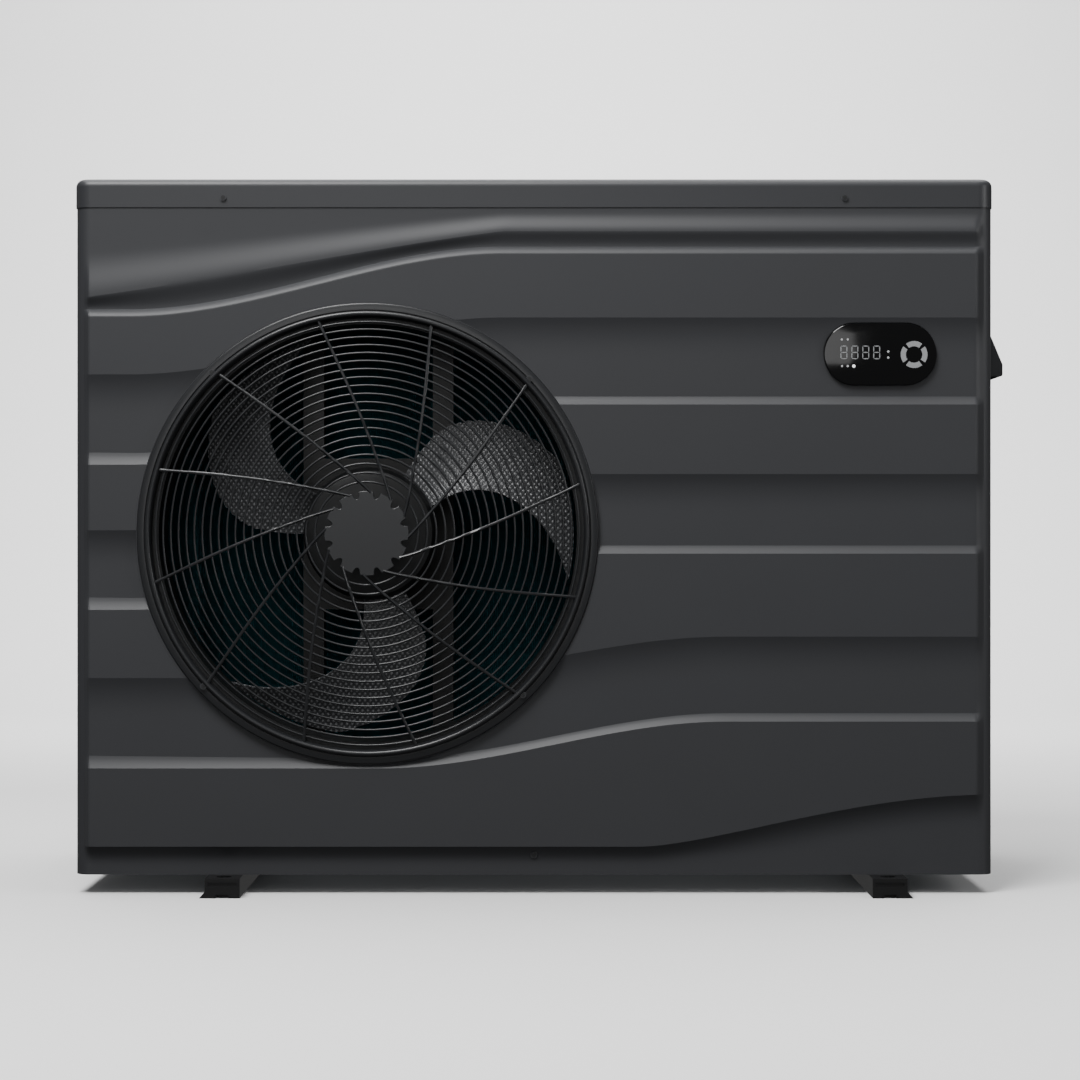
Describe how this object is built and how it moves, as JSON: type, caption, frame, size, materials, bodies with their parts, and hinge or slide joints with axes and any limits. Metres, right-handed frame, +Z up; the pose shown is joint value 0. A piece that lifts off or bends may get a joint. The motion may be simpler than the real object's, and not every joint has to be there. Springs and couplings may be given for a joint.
{
  "type": "heat pump unit",
  "caption": "Free-standing pool heat pump with a side-set axial fan behind a round guard, a finned coil, a compressor bay, a touch display and rear water unions.",
  "frame": {"origin": "centre of the four anchor holes of the foot rails, on the floor", "axes": "+X to the right seen from the front, -Y towards the front, +Z up"},
  "size_m": [0.999, 0.514, 0.748],
  "materials": {
    "casing_plastic": "moulded, satin, anthracite",
    "casing_metal": "powder coat, satin, anthracite",
    "guard_plastic": "moulded, matt, black",
    "galvanised_steel": "galvanised sheet",
    "rubber": "matt black",
    "fan_plastic": "moulded, dimpled, black",
    "steel": "zinc plated",
    "motor_paint": "black enamel",
    "coil_fins": "fins with a blue-green corrosion coat",
    "copper": "copper tube",
    "brass": "machined",
    "black_plastic": "moulded",
    "water_plastic": "moulded, dark grey",
    "board": "solder mask",
    "aluminium": "extruded",
    "display_gloss": "glossy black lens"
  },
  "bodies": {
    "casing": {"accumulator": "motor_paint", "base_pan": "galvanised_steel", "cable_gland": "black_plastic", "compressor": "motor_paint", "compressor_bolts": "steel", "compressor_grommets": "rubber", "condenser_pipe": "copper", "control_board": "board", "discharge_pipe": "copper", "display_board": "board", "display_housing": "black_plastic", "display_lens": "display_gloss", "drain_spout": "black_plastic", "electrical_box": "galvanised_steel", "electrical_cover": "galvanised_steel", "evaporator_bends": "copper", "evaporator_core": "coil_fins", "evaporator_pipe": "copper", "evaporator_plates": "galvanised_steel", "exchanger_caps": "water_plastic", "exchanger_shell": "water_plastic", "expansion_valve": "brass", "fan_guard": "casing_plastic", "fan_motor": "motor_paint", "fan_shroud": "casing_plastic", "flow_switch": "black_plastic", "foot_caps_left": "rubber", "foot_caps_right": "rubber", "foot_rail_left": "galvanised_steel", "foot_rail_right": "galvanised_steel", "four_way_valve": "brass", "front_panel": "casing_plastic", "heat_sink": "aluminium", "left_panel": "casing_metal", "liquid_pipe": "copper", "motor_bolts": "steel", "motor_bracket": "galvanised_steel", "panel_screws": "steel", "partition": "galvanised_steel", "rear_guard": "guard_plastic", "rear_panel": "casing_metal", "right_panel": "casing_metal", "side_handle": "casing_plastic", "suction_pipe": "copper", "tailpiece_inlet": "water_plastic", "tailpiece_outlet": "water_plastic", "terminal_block": "black_plastic", "terminal_cover": "black_plastic", "titanium_coil": "copper", "top_cover": "casing_metal", "union_nuts": "water_plastic", "union_seals": "rubber", "valve_solenoid": "black_plastic", "water_inlet_pipe": "water_plastic", "water_outlet_pipe": "water_plastic"},
    "fan": {"fan_blades": "fan_plastic", "fan_nut": "steel", "motor_shaft": "steel", "motor_rotor": "steel"},
    "flow_paddle": {"flow_paddle": "black_plastic"}
  },
  "joints": [
    {"name": "fan_spin", "type": "hinge", "parent": "casing", "child": "fan", "pos_m": [-0.1966, -0.181, 0.3768], "axis": [0, -1, 0], "continuous": true},
    {"name": "paddle_swing", "type": "hinge", "parent": "casing", "child": "flow_paddle", "pos_m": [0.342, 0.176, 0.16], "axis": [-1, 0, 0], "range_deg": [0, 25], "stiffness_Nm_per_rad": 0.02}
  ]
}
